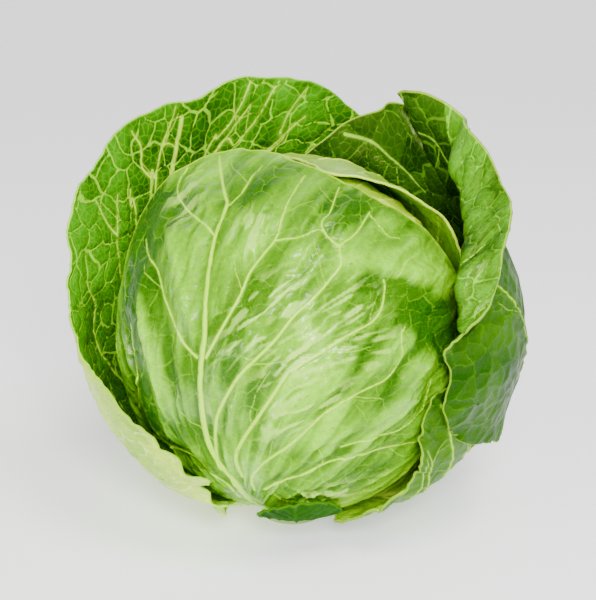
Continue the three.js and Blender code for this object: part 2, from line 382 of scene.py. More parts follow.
def midrib(leaf, seed):
    """The middle vein, from the base to the tip, swaying a few millimetres to the sides."""
    sway = 4.0
    base, _ = leaf.place(np.array([0.97]), np.array([0.0]))
    tip, _ = leaf.place(np.array([0.93]), np.array([np.pi]))
    s = np.linspace(base[0], tip[0], 9)
    t = sway * noise(s / 60, np.zeros(9), seed) * np.linspace(0, 1, 9)
    return path(np.stack([s, t], 1))


def grow(leaf, start, heading, turns, stride, reach, others=None):
    """A line that turns a little at each step, till it nears the margin or meets another vein."""
    rows = [start]
    for step, turn in enumerate(turns):
        heading += turn
        p = rows[-1] + stride * np.array([math.cos(heading), math.sin(heading)])
        x, _ = leaf.share(p[:1], p[1:])
        if x[0] > reach:
            break
        rows.append(p)
        if others and step > 2 and others.tree.find((p[0], p[1], 0))[2] < 1.2:
            break
    return rows


def side_veins(leaf, rib, side, places, lean, seed):
    """Veins leaving the midrib at shares of its length, bending towards the tip."""
    dice = np.random.default_rng(seed)
    made = []
    for share in places:
        heading = side * math.radians(lean + dice.uniform(-5, 5)) * (1.12 - 0.45 * share)
        turns = (-side * math.radians(0.35 + dice.uniform(-1.6, 1.6)) for _ in range(90))
        rows = grow(leaf, rib[int(share * (len(rib) - 1))], heading, turns, stride=3, reach=0.94)
        if len(rows) > 3:
            made.append(path(rows[::2] if len(rows) > 8 else rows))
    return made


def twigs(leaf, veins, every, length, lean, seed):
    """Short veins off the big ones, about so far apart, to the left and to the right in turn."""
    dice = np.random.default_rng(seed)
    stride, bend = 2, math.radians(1.2)
    veins.build()
    made = []
    for line, _, _ in veins.rows:
        run = dice.uniform(0.4, 1) * every
        side = 1
        while run < len(line) * VEIN_STEP - 4:
            k = int(run / VEIN_STEP)
            run += every * dice.uniform(0.6, 1.4)
            side = -side
            tangent = unit(line[min(k + 2, len(line) - 1)] - line[k])
            heading = math.atan2(tangent[1], tangent[0]) + side * math.radians(lean + dice.uniform(-12, 12))
            steps = int(length * dice.uniform(0.6, 1.3) / stride)
            turns = (math.radians(dice.uniform(-9, 9)) - side * bend for _ in range(steps))
            rows = grow(leaf, line[k], heading, turns, stride, reach=0.965, others=veins)
            if len(rows) > 3:
                made.append(path(rows))
    return made


def cell_net(s, t, size, seed):
    """Irregular cells: distance to the nearest border, the way to it, and a number for each cell."""
    warp = 0.28 * size
    u = (s + warp * rough(s / 14, t / 14, seed)) / size
    v = (t + warp * rough(s / 14, t / 14, seed + 5)) / size
    # the cells' middles: of the cell that each place is in, and of two more on every side
    near = np.arange(-2, 3)
    i = np.floor(u).astype(int) + np.repeat(near, len(near))[:, None]
    j = np.floor(v).astype(int) + np.tile(near, len(near))[:, None]
    x = i + 0.5 + 0.42 * lattice(i + 31 * seed, j)
    y = j + 0.5 + 0.42 * lattice(i + 31 * seed + 97, j + 53)
    from_middle = (x - u) ** 2 + (y - v) ** 2
    home = from_middle.argmin(0), np.arange(len(u))
    tone = lattice(i * 7 + 13, j * 5 + seed)[home]
    # the border with a neighbour lies half way between the two middles
    dx, dy = x - x[home], y - y[home]
    gap = np.maximum(np.hypot(dx, dy), 1e-6)
    edge = np.where(gap > 1e-6, (from_middle - from_middle[home]) / (2 * gap), FAR)
    nearest = edge.argmin(0), np.arange(len(u))
    edge = edge[nearest]
    way = np.stack([dx[nearest], dy[nearest]], 1) / gap[nearest][:, None] * edge[:, None]
    return edge * size, way * size, tone


# ---- blades

RANKS = ("rib", "side", "small")     # of a leaf's veins, the biggest first


def vein_fields(veins, net_size, seed, s, t):
    """Distances to the edges and middles of the three ranks of veins and the net, and the ways."""
    fields, ways = {}, []
    for rank, lines in zip(RANKS, veins):
        d, half, way = lines.near(s, t)
        fields.update({rank: d - half, rank + "_d": d, rank + "_half": half})
        ways.append((d, way))
    d, way, tone = cell_net(s, t, net_size, seed)
    fields.update(net=d - 0.12 - 0.22 * noise(s / 13, t / 13, seed + 3), net_d=d, cell=tone)
    ways.append((d, way))
    return fields, ways


def spacing(s, t, m):
    """The shortest side of the grid's cells at each of its points."""
    a, b = s.reshape(m, m), t.reshape(m, m)
    along = np.hypot(np.diff(a, axis=0), np.diff(b, axis=0))
    across = np.hypot(np.diff(a, axis=1), np.diff(b, axis=1))
    rows = np.minimum(np.vstack([along[:1], along]), np.vstack([along, along[-1:]]))
    columns = np.minimum(np.hstack([across[:, :1], across]), np.hstack([across, across[:, -1:]]))
    return np.minimum(rows, columns).ravel()


def snap(ways, s, t, x, size):
    """Moves grid points that are nearly on a vein onto it, so that thin veins stay sharp."""
    on = np.zeros(len(s), bool)
    for d, way in ways:
        take = (d < 0.5 * size) & ~on & (x < INSIDE)
        s = np.where(take, s + way[:, 0], s)
        t = np.where(take, t + way[:, 1], t)
        on |= take
    return s, t, on


def bulge(d, half, height):
    """A rounded ridge over a vein, from its middle out to half its width."""
    return height * np.maximum(0, 1 - (d / half) ** 2) ** 2 * (d < half)


def grid_quads(m):
    """The corners of each cell of a grid of m by m points."""
    i, j = np.meshgrid(np.arange(m - 1), np.arange(m - 1), indexing="ij")
    a = (i * m + j).ravel()
    return np.stack([a, a + m, a + m + 1, a + 1], 1)


def rim_of(m):
    """The points round the grid's border, in order."""
    side = np.arange(m - 1)
    return np.concatenate([side * m, (m - 1) * m + side, (m - 1 - side) * m + m - 1, m - 1 - side])


def split(quads, points, on):
    """Two triangles to a quad: along a vein where one runs corner to corner, else the short way."""
    a, b, c, d = quads.T
    ac, bd = on[a] & on[c], on[b] & on[d]
    short = np.linalg.norm(points[a] - points[c], axis=1) <= np.linalg.norm(points[b] - points[d], axis=1)
    first = np.where(ac != bd, ac, short)[:, None]
    one = np.where(first, np.stack([a, b, c], 1), np.stack([a, b, d], 1))
    two = np.where(first, np.stack([a, c, d], 1), np.stack([b, c, d], 1))
    return np.vstack([one, two])


def make_piece(name, node, points, faces, face_materials, materials, marks, uv):
    """A smooth piece in place of a node; the marks are numbers at its points for its materials."""
    mesh = bpy.data.meshes.new(name)
    mesh.from_pydata((points * MM).tolist(), [], faces.tolist(), shade_flat=False)
    mesh.polygons.foreach_set("material_index", face_materials.astype(np.int32))
    for key, values in marks.items():
        mesh.attributes.new(key, "FLOAT", "POINT").data.foreach_set("value", values.astype(np.float32))
    layer = mesh.uv_layers.new(name="blade")
    layer.data.foreach_set("uv", uv[faces.ravel()].astype(np.float32).ravel())
    for material in materials:
        mesh.materials.append(material)
    mesh.update()
    mesh.validate()
    piece = bpy.data.objects.new(name, mesh)
    bpy.context.scene.collection.objects.link(piece)
    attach(piece, "root")
    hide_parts(node)


def face_sheet(leaf, cells, veins, net_size, seed, relief, outer):
    """One face of the blade: its points, which of them lie on a vein, its marks and its UVs."""
    x, phi = disc(cells)
    s, t = leaf.place(x, phi)
    _, ways = vein_fields(veins, net_size, seed, s, t)
    s, t, on = snap(ways, s, t, x, spacing(s, t, cells + 1))
    fields, _ = vein_fields(veins, net_size, seed, s, t)
    x, phi = leaf.share(s, t)
    x = np.minimum(x, 1)
    margin = (1 - x) * leaf.margin_turn(phi) * leaf.radius
    shift, marks = relief(s, t, x, phi, margin, fields, outer)
    points = leaf.points(s, t) + leaf.normals(s, t) * shift[:, None]
    marks.update({key: fields[key] for key in (*RANKS, "net", "cell")})
    marks.update(margin=margin, base=-s / leaf.radius)
    return points, on, marks, np.stack([s, t], 1) / 300 + 0.5


def edge_strip(rim_out, rim_in):
    """Triangles between the rims of the two faces; the inner rim has as many points or fewer."""
    ratio = len(rim_out) // len(rim_in)
    strip = []
    for a, (here, after) in enumerate(zip(rim_out, np.roll(rim_out, -1))):
        c, d = rim_in[a // ratio], rim_in[(a // ratio + 1) % len(rim_in)]
        if a % ratio == ratio // 2:
            strip.append((here, c, d))
        strip.append((here, c if a % ratio < ratio // 2 else d, after))
    return np.array(strip)


def make_leaf(leaf, materials, cells, veins, net_size, seed, relief, inner_cells=None, node=None):
    """The fine piece of a leaf: its two faces, so many cells across, joined round the margin."""
    inner_cells = inner_cells or cells
    outer, on, marks, uv = face_sheet(leaf, cells, veins, net_size, seed, relief, True)
    inner, on_in, marks_in, uv_in = face_sheet(leaf, inner_cells, veins, net_size, seed, relief, False)
    n = len(outer)
    top = split(grid_quads(cells + 1), outer, on)
    low = split(grid_quads(inner_cells + 1), inner, on_in)[:, ::-1] + n
    edge = edge_strip(rim_of(cells + 1), rim_of(inner_cells + 1) + n)
    faces = np.vstack([top, low, edge])
    face_materials = np.repeat([0, 1, 0], [len(top), len(low), len(edge)])
    marks = {key: np.concatenate([marks[key], marks_in[key]]) for key in marks}
    make_piece(leaf.name + "_fine", node or leaf.name, np.vstack([outer, inner]), faces,
               face_materials, materials, marks, np.vstack([uv, uv_in]))


# ---- materials

class Shader:
    """A node material, built with short calls."""

    def __init__(self, name):
        self.material = bpy.data.materials.new(name)
        self.material.use_nodes = True
        self.tree = self.material.node_tree
        self.tree.nodes.clear()
        output = self.add("ShaderNodeOutputMaterial")
        self.skin = self.add("ShaderNodeBsdfPrincipled")
        self.link(self.skin.outputs["BSDF"], output.inputs["Surface"])
        self.where = self.add("ShaderNodeTexCoord").outputs["Object"]

    def add(self, kind, **settings):
        node = self.tree.nodes.new(kind)
        for key, value in settings.items():
            setattr(node, key, value)
        return node

    def link(self, a, b):
        self.tree.links.new(a, b)

    def put(self, socket, value):
        """Links another node's output to the socket, or sets a plain value on it."""
        if isinstance(value, bpy.types.NodeSocket):
            self.link(value, socket)
        else:
            socket.default_value = value

    def dress(self, values):
        """Sets or links the shader's own sockets."""
        for key, value in values.items():
            self.put(self.skin.inputs[key], value)

    def mark(self, name):
        return self.add("ShaderNodeAttribute", attribute_name=name).outputs["Fac"]

    def math(self, operation, a, b=0.0, clamp=False):
        node = self.add("ShaderNodeMath", operation=operation, use_clamp=clamp)
        self.put(node.inputs[0], a)
        self.put(node.inputs[1], b)
        return node.outputs[0]

    def band(self, value, low, high, start=0.0, end=1.0):
        """Goes smoothly from start to end as the value goes from low to high."""
        node = self.add("ShaderNodeMapRange", interpolation_type="SMOOTHSTEP")
        inputs = {"Value": value, "From Min": low, "From Max": high, "To Min": start, "To Max": end}
        for key, number in inputs.items():
            self.put(node.inputs[key], number)
        return node.outputs["Result"]

    def mix(self, share, a, b):
        node = self.add("ShaderNodeMix", data_type="RGBA")
        self.put(node.inputs[0], share)
        self.put(node.inputs[6], a)
        self.put(node.inputs[7], b)
        return node.outputs[2]

    def noise(self, scale, detail=2.0, roughness=0.5):
        """Noise from 0 to 1, about so many bumps a metre."""
        node = self.add("ShaderNodeTexNoise")
        self.link(self.where, node.inputs["Vector"])
        node.inputs["Scale"].default_value = scale
        node.inputs["Detail"].default_value = detail
        node.inputs["Roughness"].default_value = roughness
        return node.outputs["Fac"]

    def bump(self, height, strength):
        node = self.add("ShaderNodeBump")
        node.inputs["Strength"].default_value = strength
        node.inputs["Distance"].default_value = BUMP_DEPTH
        self.link(height, node.inputs["Height"])
        return node.outputs["Normal"]


def paint(red, green, blue):
    """A colour given as it looks on a screen, 0 to 255."""
    shares = (red / 255, green / 255, blue / 255)
    linear = [c / 12.92 if c <= 0.04045 else ((c + 0.055) / 1.055) ** 2.4 for c in shares]
    return (*linear, 1.0)


BUMP_DEPTH = 0.0006                 # metres
SOFT_DEPTH = 0.004                  # how far light goes into a leaf, in metres
# pale green painted on the front leaf's crests: a painted highlight
PAINTED_HIGHLIGHT = paint(214, 246, 120)
SHEEN_TINT = (0.8, 1.0, 0.12, 1)    # reflections on a skin are green rather than white


def leaf_material(name, greens, net_share=0.5, mottle=0.4, highlight_share=0.0, coat=0.4, cells=0.3, net_dark=0.0,
                  base_pale=0.4, base_from=0.75, rim_width=1.0, rim_share=0.6, specular=0.3):
    """Skin of a leaf's face, between a deep and a bright green, with pale veins, net and margin.

    The shares say how much shows of the net, the mottling, the painted highlight on the crests,
    the wet gloss, the cells' own tones, the pale base and the margin (rim). `net_dark` is how far
    the net sinks into the deep green where the tone is low, in painted shade as well, and
    `base_from` how far from the leaf's middle the pale base starts.
    """
    sh = Shader(name)
    deep, bright, vein, net, rim = (paint(*green) for green in greens)
    patches = sh.band(sh.noise(16, 3), 0.32, 0.68)
    # the tone mark holds the leaf's own deeper and brighter greens, and on some leaves painted shade and
    # light
    own = sh.math("MULTIPLY", sh.mark("tone"), 1 - mottle)
    tone = sh.math("ADD", own, sh.math("MULTIPLY", patches, mottle), True)
    colour = sh.mix(tone, deep, bright)
    colour = sh.mix(sh.band(sh.mark("cell"), -1, 1, 0, cells), colour, bright)
    specks = sh.band(sh.noise(420, 2), 0.35, 0.7, 0, 0.22)
    colour = sh.mix(specks, colour, deep)

    # the net: its finest threads, which the mesh doesn't hold, then its own and the veins' halo
    threads = sh.add("ShaderNodeTexVoronoi", feature="DISTANCE_TO_EDGE", voronoi_dimensions="2D")
    sh.link(sh.add("ShaderNodeTexCoord").outputs["UV"], threads.inputs["Vector"])
    threads.inputs["Scale"].default_value = 95
    fine = sh.band(threads.outputs["Distance"], 0.02, 0.14, 1, 0)
    lace = sh.mix(sh.band(tone, 0.1, 0.7, net_dark, 0), net, deep)
    colour = sh.mix(sh.math("MULTIPLY", fine, 0.2 * net_share), colour, lace)
    colour = sh.mix(sh.band(sh.mark("net"), 0, 0.36, net_share, 0), colour, lace)
    colour = sh.mix(sh.band(sh.mark("side"), 0, 1.8, 0.2, 0), colour, lace)

    # the veins: how much of each rank's pale green shows, and how far its edge fades, in mm
    for rank, share, fades in (("small", 0.5, 0.4), ("side", 0.95, 0.45), ("rib", 1.0, 0.9)):
        pale = sh.mix(sh.band(tone, 0.1, 0.7, 0.45 * net_dark, 0), vein, deep)
        colour = sh.mix(sh.band(sh.mark(rank), -0.15, fades, share, 0), colour, pale)
    colour = sh.mix(sh.band(sh.mark("base"), base_from, base_from + 0.6, 0, base_pale), colour, vein)
    edge = sh.band(sh.mark("margin"), 0.4 * rim_width, 1.6 * rim_width, rim_share, 0)
    colour = sh.mix(edge, colour, rim)
    # painted highlight: the pale crest mark laid on in its own colour
    if highlight_share:
        colour = sh.mix(sh.math("MULTIPLY", sh.mark("wax"), highlight_share), colour, PAINTED_HIGHLIGHT)

    shine = sh.band(sh.noise(130, 3), 0.3, 0.7, 0.38, 0.55)
    shine = sh.math("SUBTRACT", shine, sh.math("MULTIPLY", sh.mark("gloss"), 0.16))
    wet = sh.math("MULTIPLY", sh.band(sh.noise(70, 2), 0.35, 0.65, 0.45, 1.0), sh.mark("gloss"))
    grain = sh.math("ADD", sh.math("MULTIPLY", sh.noise(900, 3), 0.35), sh.math("MULTIPLY", fine, -0.5))
    grain = sh.math("ADD", grain, sh.math("MULTIPLY", sh.noise(240, 3), 0.9))
    sh.dress({
        "Base Color": colour, "Roughness": shine, "Normal": sh.bump(grain, 0.35),
        "Specular IOR Level": specular, "Specular Tint": SHEEN_TINT,
        "Coat Weight": sh.math("MULTIPLY", wet, coat), "Coat Roughness": 0.22,
        "Subsurface Weight": 0.1, "Subsurface Radius": (0.5, 1.0, 0.2), "Subsurface Scale": SOFT_DEPTH})
    return sh.material


def stem_material():
    """The cut stem: pale fibres, a darker ring in the cut, green skin round the side."""
    sh = Shader("cut_stem")
    ring_radius, ring_half = 9.6, 1.6
    grain = sh.noise(260, 4, 0.6)
    colour = sh.mix(sh.band(grain, 0.35, 0.7), paint(222, 226, 178), paint(188, 200, 128))
    from_ring = sh.math("ABSOLUTE", sh.math("SUBTRACT", sh.mark("radius"), ring_radius))
    colour = sh.mix(sh.band(from_ring, 0, ring_half, 0.6, 0), colour, paint(163, 150, 92))
    colour = sh.mix(sh.band(sh.mark("skin"), 0.2, 0.9), colour, paint(176, 204, 128))
    sh.dress({"Base Color": colour, "Roughness": 0.6, "Normal": sh.bump(grain, 0.4),
              "Subsurface Weight": 0.15, "Subsurface Scale": SOFT_DEPTH})
    return sh.material


# ---- the front leaf

# picture points; a side vein also has its relative width at the start and at the end
FRONT_MIDRIB = [
    (262, 512), (245, 495), (232, 480), (216, 460), (207, 440), (202, 415), (200, 387), (201, 360),
    (204, 335), (205, 305), (208, 275), (215, 235), (226, 207), (225, 195), (221, 170), (220, 158)]
FRONT_SIDE_VEINS = [
    ([(206, 357), (225, 322), (240, 295), (250, 272), (265, 252), (277, 235), (287, 205), (297, 187),
      (305, 176)], 0.75, 0.3),
    ([(277, 240), (300, 237), (320, 231), (337, 247)], 0.4, 0.22),
    ([(220, 470), (215, 437), (217, 417), (227, 395), (240, 375), (255, 360), (275, 340), (295, 315),
      (315, 297), (332, 277), (340, 265), (340, 247), (357, 232), (370, 212)], 0.95, 0.4),
    ([(340, 247), (324, 232), (322, 222), (331, 210), (339, 188)], 0.45, 0.22),
    ([(242, 477), (236, 460), (240, 445), (255, 422), (270, 400), (285, 377), (292, 370), (317, 355),
      (345, 337), (372, 322), (382, 307), (385, 287), (384, 280)], 1.05, 0.4),
    ([(254, 490), (252, 477), (262, 465), (287, 447), (302, 435), (327, 412), (355, 395), (385, 380),
      (396, 368)], 0.9, 0.4),
    ([(396, 368), (402, 352), (400, 338), (406, 326)], 0.45, 0.25),
    ([(265, 490), (280, 482), (302, 475), (330, 462), (360, 455), (390, 447), (420, 440)], 1.0, 0.3),
    ([(342, 447), (375, 437), (400, 430), (420, 412), (427, 392), (430, 380)], 0.45, 0.28),
    ([(275, 495), (297, 505), (320, 514)], 0.8, 0.3),
    ([(240, 497), (230, 487), (210, 472), (195, 457), (170, 445), (152, 432), (140, 407), (137, 375),
      (132, 325)], 0.8, 0.3),
    ([(196, 357), (187, 347), (175, 325), (165, 300), (157, 270), (147, 252), (146, 240)], 0.7, 0.3),
    ([(214, 235), (205, 225), (185, 207), (177, 187), (188, 170)], 0.5, 0.28),
    ([(226, 207), (240, 195), (252, 178), (262, 166)], 0.4, 0.2),
    ([(370, 214), (386, 234), (400, 238)], 0.35, 0.2),
    ([(398, 276), (403, 264), (414, 256)], 0.4, 0.22),
]

# soft folds: picture points along each, half width and height in mm
FRONT_FOLDS = [
    ([(364, 285), (384, 280), (402, 283), (416, 292)], 3.6, -2.0),
    ([(345, 262), (375, 262), (400, 269), (430, 275), (450, 280)], 7.0, 1.7),
    ([(408, 305), (422, 322), (436, 340)], 10.0, -2.0),
    ([(143, 280), (149, 330), (160, 385), (172, 430)], 4.2, 1.4),
    ([(156, 275), (164, 330), (176, 390)], 3.6, -1.3),
    ([(170, 233), (180, 270), (192, 320)], 2.2, 0.9),
    ([(205, 405), (212, 435), (222, 462)], 3.4, -0.9),
    ([(217, 345), (232, 318), (244, 298)], 3.4, -0.9),
    ([(250, 405), (262, 385), (275, 365)], 3.2, -0.8),
    ([(262, 440), (290, 415), (320, 385)], 4.0, 0.8),
    ([(320, 440), (360, 420), (400, 400)], 5.0, 0.9),
    ([(295, 458), (340, 440), (390, 420)], 3.0, -0.8),
]

# crinkled patches: the middle and a second point along the creases (picture points), then the
# half length, half width, spacing and height in mm
FRONT_CREASES = [
    ((266, 314), (298, 290), 22, 14, 3.0, 0.62),
    ((303, 352), (335, 330), 22, 11, 3.0, 0.62),
    ((240, 345), (262, 318), 18, 6, 2.8, 0.45),
    ((290, 395), (318, 372), 18, 6, 2.8, 0.4),
    ((352, 303), (375, 288), 15, 11, 2.6, 0.5),
    ((250, 232), (262, 205), 14, 9, 3.0, 0.45),
    ((305, 412), (335, 395), 22, 6, 3.2, 0.65),
    ((365, 345), (400, 330), 20, 12, 2.8, 0.38),
    ((345, 487), (395, 470), 28, 9, 3.6, 0.5),
    ((187, 200), (205, 190), 13, 18, 4.0, 0.42),
    ((310, 497), (345, 503), 16, 6, 3.0, 0.5),
    ((215, 415), (222, 440), 14, 7, 3.0, 0.3),
]

# where the green is painted deeper for shade or brighter for light: painted shadow along the left
# edge, on the right side and in creases, painted highlights in the middle and on a streak at the
# left, and a few of the leaf's own deeper patches; a picture point or a line of them, half width in mm,
# change
FRONT_SHADE_AND_LIGHT = [
    ([(425, 325)], 15, -0.6), ([(185, 205)], 18, -0.5), ([(347, 203)], 12, -0.5),
    ([(150, 300)], 17, -0.45), ([(235, 375)], 13, -0.35), ([(420, 400)], 15, -0.35),
    ([(300, 330)], 26, 0.35), ([(395, 262)], 14, 0.4), ([(300, 450)], 22, 0.3),
    ([(158, 390)], 9, 0.3), ([(250, 230)], 18, 0.15), ([(328, 228)], 9, -0.35),
    ([(172, 430)], 14, -0.4), ([(385, 290)], 7, -0.5), ([(370, 465)], 12, -0.3),
    ([(255, 190)], 12, -0.25),
    ([(150, 215), (138, 260), (134, 310), (140, 370), (155, 425), (180, 462)], 13, -0.85),
    ([(147, 300), (152, 340), (162, 385)], 2.5, 0.5),
    ([(172, 260), (182, 320), (194, 380), (204, 430)], 5, -0.3),
    ([(372, 283), (400, 286), (430, 300), (445, 330), (440, 360)], 6, -0.5),
    ([(215, 330), (236, 300), (250, 280)], 4, -0.3),
    ([(232, 420), (262, 385), (300, 352)], 4, -0.25),
    ([(262, 450), (300, 418), (350, 385)], 4, -0.25),
    ([(275, 480), (330, 455), (400, 430)], 4, -0.25),
]

FRONT_FOOT = (258, 506)     # picture point where the veins meet
SIDE_HALF = (0.68, 0.7)     # half width of a side vein of relative width 1, at its start and its end
FRONT_STAND = 0.9           # how far the puffed blade stands out of its smooth form on the whole
FRONT_LOWEST = -0.5         # and how deep its dents may go
# fine streaks that fan out from the foot: bumps a radian, length, height, seed
FRONT_FAN = [(20, 30, 1.0, 3), (42, 20, 0.6, 4), (75, 16, 0.35, 5)]


def front_veins():
    """The front leaf's veins, where the picture shows them, and twigs off them."""
    ribs, sides, small = Veins(), Veins(), Veins()
    ribs.add(path(on_leaf(FRONT, FRONT_MIDRIB, False)), start=4.6, end=0.22, power=0.2)
    for pixels, start, end in FRONT_SIDE_VEINS:
        sides.add(path(on_leaf(FRONT, pixels, False)), SIDE_HALF[0] * start, SIDE_HALF[1] * end)
    for line in twigs(FRONT, sides, every=40, length=24, lean=48, seed=21):
        small.add(line, start=0.16, end=0.05)
    return ribs, sides, small


def along_lines(lines, s, t):
    """Sum of soft spots and bands at picture points: each has its half width and its height."""
    total = np.zeros(len(s))
    for pixels, half, rise in lines:
        gap = np.full(len(s), FAR)
        places = on_leaf(FRONT, pixels, False)
        for a, b in path(places, 2.0) if len(places) > 1 else places:
            gap = np.minimum(gap, (s - a) ** 2 + (t - b) ** 2)
        total += rise * np.exp(-gap / half ** 2)
    return total


def creases(s, t):
    """Height of the front leaf's crinkled patches: thin crests that run with the veins."""
    height = np.zeros(len(s))
    for k, (middle, along, length, width, spacing, rise) in enumerate(FRONT_CREASES):
        here, there = on_leaf(FRONT, [middle, along], False)
        run = unit(there - here)
        u = (s - here[0]) * run[0] + (t - here[1]) * run[1]
        v = (t - here[1]) * run[0] - (s - here[0]) * run[1]
        window = np.exp(-(u / length) ** 2 - (v / width) ** 2)
        v = v + 1.8 * noise(u / 14, v / 14, 20 + k)
        ridge = noise(u / (3.4 * spacing), v / (0.55 * spacing), 30 + k)
        height += rise * window * (1.9 * smooth(0.0, 0.5, ridge) - 0.45)
    return height


def front_relief(s, t, x, phi, margin, fields, outer):
    """Raised ribs, the blade puffed between them, folds, and creases that run with the veins."""
    foot = on_leaf(FRONT, [FRONT_FOOT], False)[0]
    turn = np.arctan2(t - foot[1], s - foot[0])
    away = np.hypot(s - foot[0], t - foot[1])
    fan = sum(rise * noise(turn * bumps, away / length, seed) for bumps, length, rise, seed in FRONT_FAN)
    fan = fan * smooth(6, 45, away)
    folds, crinkles = along_lines(FRONT_FOLDS, s, t), creases(s, t)
    rank = np.minimum(fields["rib"], fields["side"])
    shift = 0.8 * fan + 1.4 * folds + crinkles + 2.2 * smooth(0, 9, rank) - 1.4
    shift += 0.5 * smooth(0, 3.2, np.minimum(fields["net"], fields["small"]))
    shift = np.maximum(FRONT_STAND + shift * (smooth(0, 12, margin) * 0.75 + 0.25), FRONT_LOWEST)
    if outer:
        rib_height = np.minimum(2.0, 0.4 * fields["rib_half"] + 0.4)
        shift += bulge(fields["rib_d"], fields["rib_half"] * 1.2, rib_height)
        shift += bulge(fields["side_d"], fields["side_half"] * 1.7, 0.3 + 0.45 * fields["side_half"])
        shift += bulge(fields["small_d"], 0.9, 0.15)
        shift += 0.9 * (1 - smooth(0.4, 3.2, margin))
    else:
        shift = np.full(len(s), -FRONT.thick)
    # painted shade and light: the green is deeper in the hollows of the folds, creases and streaks and
    # brighter on their crests
    tone = 0.5 + 0.26 * rough(s / 30, t / 30, 2) + 0.3 * folds + 0.6 * crinkles + 0.3 * fan
    gloss = 0.2 + 0.8 * noise(s / 20, t / 20, 15) + 1.2 * np.abs(crinkles) + 0.5 * fan
    # painted highlight: brighter green where the skin is glossy; then the table of painted shadow and
    # highlights
    tone += 0.3 * (np.clip(gloss, 0, 1) - 0.3) + along_lines(FRONT_SHADE_AND_LIGHT, s, t)
    # painted highlight: pale green on the crests of the creases
    wax = np.clip(1.3 * crinkles - 0.1, 0, 1)
    return shift, dict(tone=np.clip(tone, 0, 1), gloss=np.clip(gloss, 0, 1), wax=wax)


# ---- the other leaves

def one_side(line, rib):
    """The longer stretch of a line that stays on one side of the midrib."""
    order = np.argsort(rib[:, 0])
    left = line[:, 1] < np.interp(line[:, 0], rib[order, 0], rib[order, 1])
    return line[left if left.mean() > 0.5 else ~left]


def plain_veins(leaf, rib_half, lean, seed, places_left, places_right, every=30, seen=()):
    """Midrib, side veins by rule on both sides, and the veins seen on the inner face."""
    ribs, sides, small = Veins(), Veins(), Veins()
    rib = midrib(leaf, seed)
    ribs.add(rib, start=rib_half, end=0.4, power=0.45)
    for side, places in ((1, places_right), (-1, places_left)):
        for line in side_veins(leaf, rib, side, places, lean, seed + side):
            sides.add(line, start=0.8, end=0.2)
    for root, pixels, start, end in seen:
        points = on_leaf(leaf, pixels, True)
        if root is not None:
            points = np.vstack([rib[int(root * (len(rib) - 1))], points])
        sides.add(one_side(path(points), rib), SEEN_HALF[0] * start, SEEN_HALF[1] * end)
    for line in twigs(leaf, sides, every, length=20, lean=50, seed=seed + 3):
        small.add(line, start=0.18, end=0.08)
    return ribs, sides, small


def blistered(leaf, depth, seed, net_depth=0.7, shade_and_light_at=None, patchy=0.3):
    """Relief of a loose leaf: cells puffed towards its inner face, ribs proud of its outer face.

    `depth` and `net_depth` are how deep the blade dips between the veins and in the net's cells,
    `patchy` is how much its tone varies, and the rule for the whole leaf, if one is given, paints shade and
    light into its tone.
    """

    def relief(s, t, x, phi, margin, fields, outer):
        shift = -depth * (smooth(0, 8, np.minimum(fields["rib"], fields["side"])) - 0.5)
        lace = np.minimum(fields["net_d"], fields["small_d"])
        shift -= net_depth * (smooth(0, 3.4, lace) - 0.5)
        shift += 0.6 * rough(s / 24, t / 24, seed)
        ruffle = 1.1 * ring_noise(phi, 56, seed + 1) + 0.7 * ring_noise(phi, 120, seed + 2)
        shift += around(leaf.ruffle, phi) * (1 - smooth(1, 14, margin)) * ruffle
        if outer:
            rib_height = np.minimum(2.2, 0.5 * fields["rib_half"] + 0.4)
            shift += bulge(fields["rib_d"], fields["rib_half"] * 1.1, rib_height)
            shift += bulge(fields["side_d"], fields["side_half"] * 1.6, 0.3 + 0.4 * fields["side_half"])
            shift += bulge(fields["small_d"], 0.9, 0.2)
        else:
            shift -= leaf.thick
            shift += bulge(fields["side_d"], fields["side_half"] * 1.5, 0.2)
        tone = 0.5 + patchy * rough(s / 22, t / 22, seed + 7)
        if shade_and_light_at is not None:
            tone += shade_and_light_at(x, phi)
        streak = noise(s / 11, t / 3.2, seed + 9)
        tone += 0.22 * streak - 0.25 * (1 - smooth(0.5, 2.6, lace))
        gloss = 0.3 + 0.6 * noise(s / 22, t / 22, seed + 11)
        return shift, dict(tone=np.clip(tone, 0, 1), gloss=np.clip(gloss, 0, 1))

    return relief


SEEN_HALF = (0.66, 0.45)    # half width of a seen vein of relative width 1, at its start and its end
# veins seen on the inner faces: share of the midrib where one starts, picture points, relative
# width at the start and at the end
OUTER_LEFT_VEINS = [
    (0.36, [(150, 190), (155, 177), (162, 147), (172, 120), (175, 107)], 0.7, 0.3),
    (None, [(150, 177), (142, 167), (141, 147), (132, 132)], 0.45, 0.25),
    (0.46, [(157, 167), (180, 147), (192, 130), (210, 110), (215, 87)], 0.45, 0.2),
    (0.55, [(205, 154), (217, 137), (230, 122), (240, 105), (250, 82)], 0.6, 0.25),
    (0.62, [(215, 152), (235, 144), (255, 120), (270, 95), (280, 80)], 0.5, 0.25),
    (0.72, [(269, 151), (280, 130), (290, 110), (305, 90)], 0.65, 0.3),
    (0.27, [(119, 265), (117, 220), (117, 195)], 0.45, 0.25),
    (None, [(117, 236), (106, 222), (96, 202)], 0.45, 0.25),
    (0.13, [(122, 382), (102, 355), (94, 332), (95, 305), (87, 285), (85, 257)], 1.1, 0.4),
    (0.3, [(135, 217), (130, 205), (130, 190)], 0.45, 0.25),
]
OUTER_RIGHT_VEINS = [
    (None, [(345, 134), (372, 142), (390, 157), (410, 175), (425, 192)], 0.5, 0.3),
    (None, [(367, 122), (397, 122), (420, 142), (442, 165), (460, 190), (465, 200)], 0.6, 0.35),
    (None, [(400, 95), (412, 115), (430, 137), (445, 157), (455, 175)], 0.55, 0.3),
]


